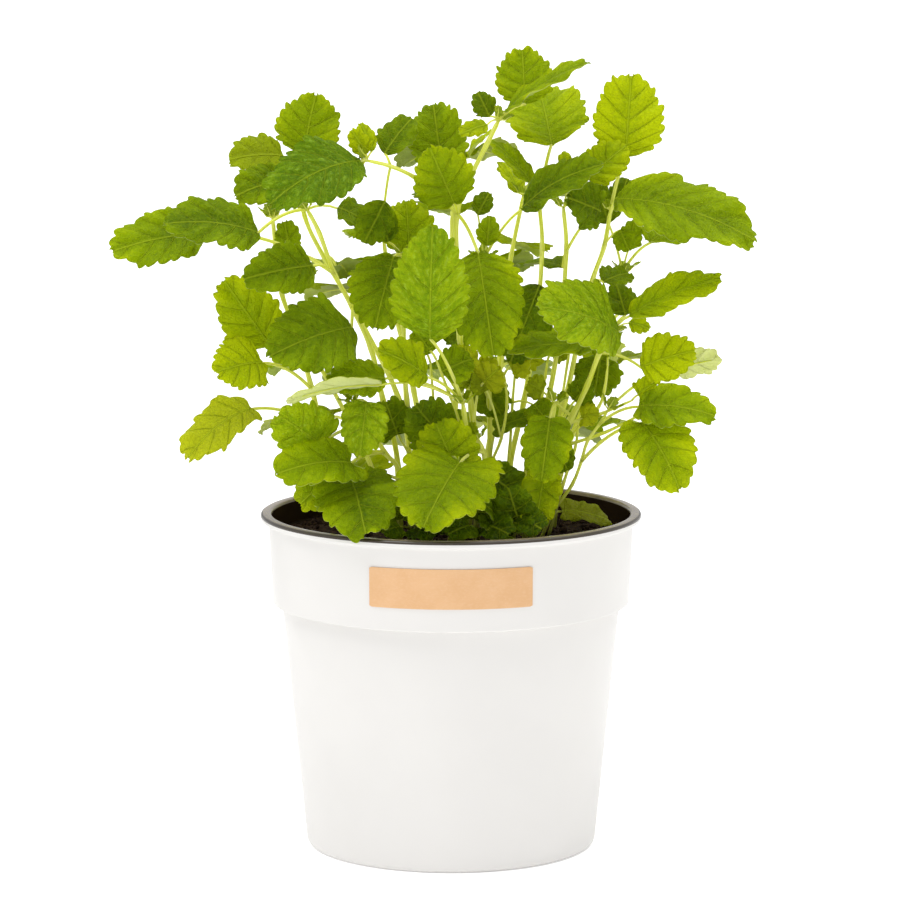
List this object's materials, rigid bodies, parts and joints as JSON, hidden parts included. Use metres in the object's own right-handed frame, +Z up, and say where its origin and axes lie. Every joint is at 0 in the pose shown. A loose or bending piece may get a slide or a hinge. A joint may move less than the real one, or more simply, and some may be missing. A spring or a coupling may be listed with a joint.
{
  "type": "potted lemon balm",
  "caption": "Bushy lemon balm with toothed leaves on upright stems, growing in soil in a round plastic nursery pot with a wider collar and a blank label.",
  "frame": {"origin": "centre of the pot's foot, on the surface that it stands on", "axes": "+Z up along the pot's axis, -Y towards the front with the label, +X to the right of the front"},
  "size_m": [0.2132, 0.168, 0.2722],
  "materials": {
    "pot": "satin",
    "soil": "matte",
    "label": "matte",
    "foliage": "satin"
  },
  "bodies": {
    "root": {"pot": "pot", "soil": "soil", "label": "label", "leafy_stem_left_tall": "foliage", "leafy_stem_left_low": "foliage", "leafy_stem_upper_left": "foliage", "leafy_stem_centre_tall": "foliage", "leafy_stem_centre_front": "foliage", "leafy_stem_centre_left": "foliage", "leafy_stem_centre_right": "foliage", "leafy_stem_right_back": "foliage", "leafy_stem_right_middle": "foliage", "leafy_stem_right_tall": "foliage", "leafy_stem_right_far": "foliage", "leafy_stem_diagonal": "foliage", "leafy_stem_right_low": "foliage", "leafy_stem_left_front": "foliage", "leafy_stem_front": "foliage", "leafy_stem_right_front": "foliage", "leafy_sprout_right": "foliage", "leafy_sprout_left": "foliage", "leafy_stem_back_1": "foliage", "leafy_stem_back_2": "foliage", "leafy_stem_back_3": "foliage", "leafy_stem_back_4": "foliage", "leafy_stem_back_5": "foliage", "leafy_stem_back_6": "foliage", "leafy_stem_back_7": "foliage"}
  },
  "joints": []
}
